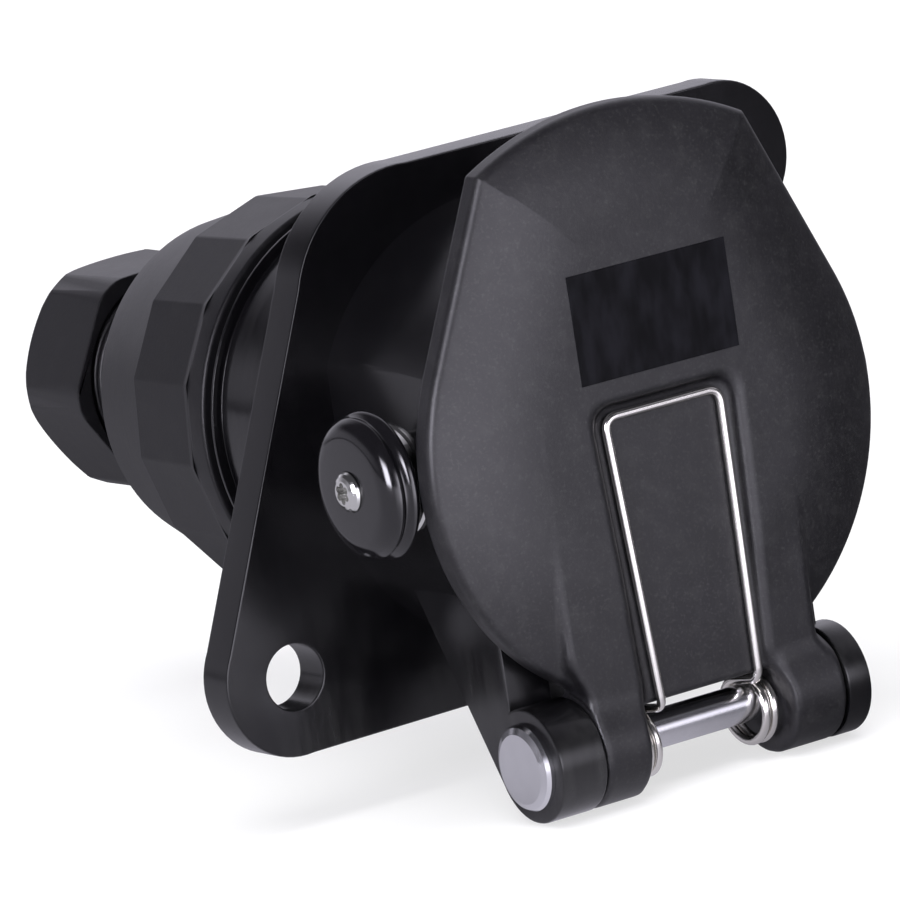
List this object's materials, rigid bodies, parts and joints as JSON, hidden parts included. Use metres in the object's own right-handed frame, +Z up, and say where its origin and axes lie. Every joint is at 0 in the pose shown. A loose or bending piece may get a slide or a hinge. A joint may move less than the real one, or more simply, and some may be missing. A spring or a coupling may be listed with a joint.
{
  "type": "trailer socket",
  "caption": "Flanged trailer socket with a sprung hinged lid, side lock rollers, screwed rear cap and cable gland, for bolting to a vehicle's rear wall.",
  "frame": {"origin": "on the socket axis at the flange's rear mounting face", "axes": "+Y along the socket axis to the rear, +X along the hinge pin to the right seen from the front, +Z up, lid facing -Y"},
  "size_m": [0.0974, 0.1357, 0.0874],
  "materials": {
    "body_plastic": "fine matte grain",
    "roller_plastic": "satin",
    "insert_plastic": "plain",
    "rubber": "matt",
    "steel": "bright",
    "zinc": "bright zinc",
    "brass": "machined"
  },
  "bodies": {
    "socket": {"housing": "body_plastic", "hinge_pin": "zinc", "pin_clip": "zinc", "bush_left": "steel", "bush_right": "steel", "roller_screw_left": "steel", "roller_screw_right": "steel", "insert": "insert_plastic", "insert_retainer": "insert_plastic", "contact_1": "brass", "contact_2": "brass", "contact_3": "brass", "contact_4": "brass", "contact_5": "brass", "contact_6": "brass", "contact_7": "brass", "terminal_screw_1": "steel", "terminal_screw_2": "steel", "terminal_screw_3": "steel", "terminal_screw_4": "steel", "terminal_screw_5": "steel", "terminal_screw_6": "steel", "terminal_screw_7": "steel"},
    "lid": {"lid": "body_plastic", "lid_seal": "rubber", "lid_spring": "steel"},
    "roller_left": {"roller_left": "roller_plastic"},
    "roller_right": {"roller_right": "roller_plastic"},
    "cap_ring": {"cap_seal": "rubber"},
    "cap": {"rear_cap": "body_plastic", "gland_grommet": "rubber"},
    "slip": {"slip_ring": "steel"},
    "nut": {"gland_nut": "body_plastic"}
  },
  "joints": [
    {"name": "lid_hinge", "type": "hinge", "parent": "socket", "child": "lid", "pos_m": [0, -0.0351, -0.0378], "axis": [1, 0, 0], "range_deg": [0, 115], "stiffness_Nm_per_rad": 0.12, "springref_deg": -68.75},
    {"name": "roller_left_spin", "type": "hinge", "parent": "socket", "child": "roller_left", "pos_m": [-0.0347, -0.0247, 0], "axis": [1, 0, 0], "continuous": true},
    {"name": "roller_right_spin", "type": "hinge", "parent": "socket", "child": "roller_right", "pos_m": [0.0347, -0.0247, 0], "axis": [1, 0, 0], "continuous": true},
    {"name": "cap_slide", "type": "slide", "parent": "socket", "child": "cap_ring", "axis": [0, 1, 0], "range_m": [0, 0.00752]},
    {"name": "cap_turn", "type": "hinge", "parent": "cap_ring", "child": "cap", "pos_m": [0, 0.0251, 0], "axis": [0, 1, 0], "range_deg": [0, 1080]},
    {"name": "gland_slide", "type": "slide", "parent": "cap", "child": "slip", "axis": [0, 1, 0], "range_m": [0, 0.00452]},
    {"name": "gland_turn", "type": "hinge", "parent": "slip", "child": "nut", "pos_m": [0, 0.0762, 0], "axis": [0, 1, 0], "range_deg": [0, 1080]}
  ],
  "couplings": [
    {"joint": "cap_slide", "follows": "cap_turn", "m_per_rad": 0.00039789},
    {"joint": "gland_slide", "follows": "gland_turn", "m_per_rad": 0.00023873}
  ]
}
